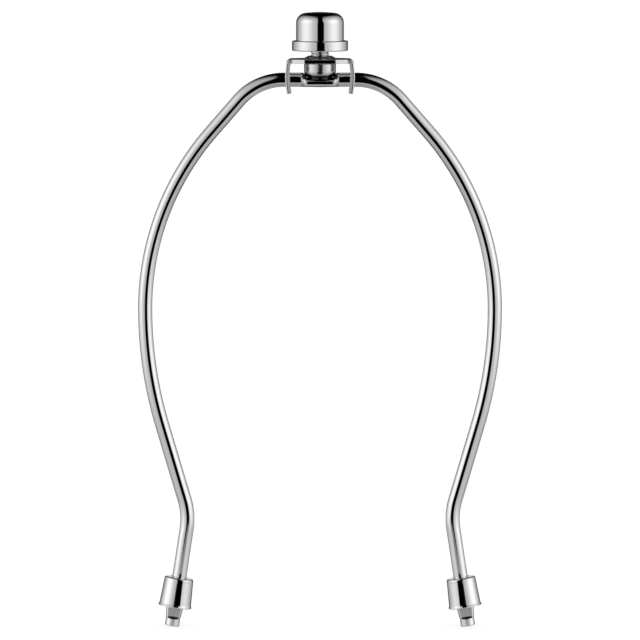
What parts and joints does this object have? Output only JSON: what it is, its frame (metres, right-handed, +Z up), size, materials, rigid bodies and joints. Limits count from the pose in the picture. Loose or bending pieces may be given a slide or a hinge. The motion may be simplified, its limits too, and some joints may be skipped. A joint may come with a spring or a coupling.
{
  "type": "lamp harp",
  "caption": "Bent chrome wire bow that stands on a lamp socket and carries a shade, with a top plate, threaded stud, screw-on capped finial and a sliding lock sleeve on each foot.",
  "frame": {"origin": "on the level of the feet's lowest points, midway between the two feet", "axes": "+Z up along the harp towards the finial, +X across the bow from the left foot to the right, +Y through the flat of the bow, away from the picture's camera"},
  "size_m": [0.1236, 0.019, 0.2096],
  "materials": {
    "polished_chrome": "polished",
    "satin_nickel": "satin",
    "bright_nickel": "bright",
    "plain_steel": "as turned"
  },
  "bodies": {
    "harp": {"harp_wire": "polished_chrome", "top_plate": "satin_nickel", "threaded_stud": "bright_nickel"},
    "finial": {"finial_cap": "polished_chrome", "finial_insert": "plain_steel"},
    "left_sleeve": {"left_sleeve": "polished_chrome"},
    "right_sleeve": {"right_sleeve": "polished_chrome"}
  },
  "joints": [
    {"name": "finial_unscrew", "type": "slide", "parent": "harp", "child": "finial", "axis": [0, 0, 1], "range_m": [0, 0.01]},
    {"name": "left_sleeve_slide", "type": "slide", "parent": "harp", "child": "left_sleeve", "axis": [0.1504, 0, 0.9886], "range_m": [0, 0.016]},
    {"name": "right_sleeve_slide", "type": "slide", "parent": "harp", "child": "right_sleeve", "axis": [-0.1504, 0, 0.9886], "range_m": [0, 0.016]}
  ]
}
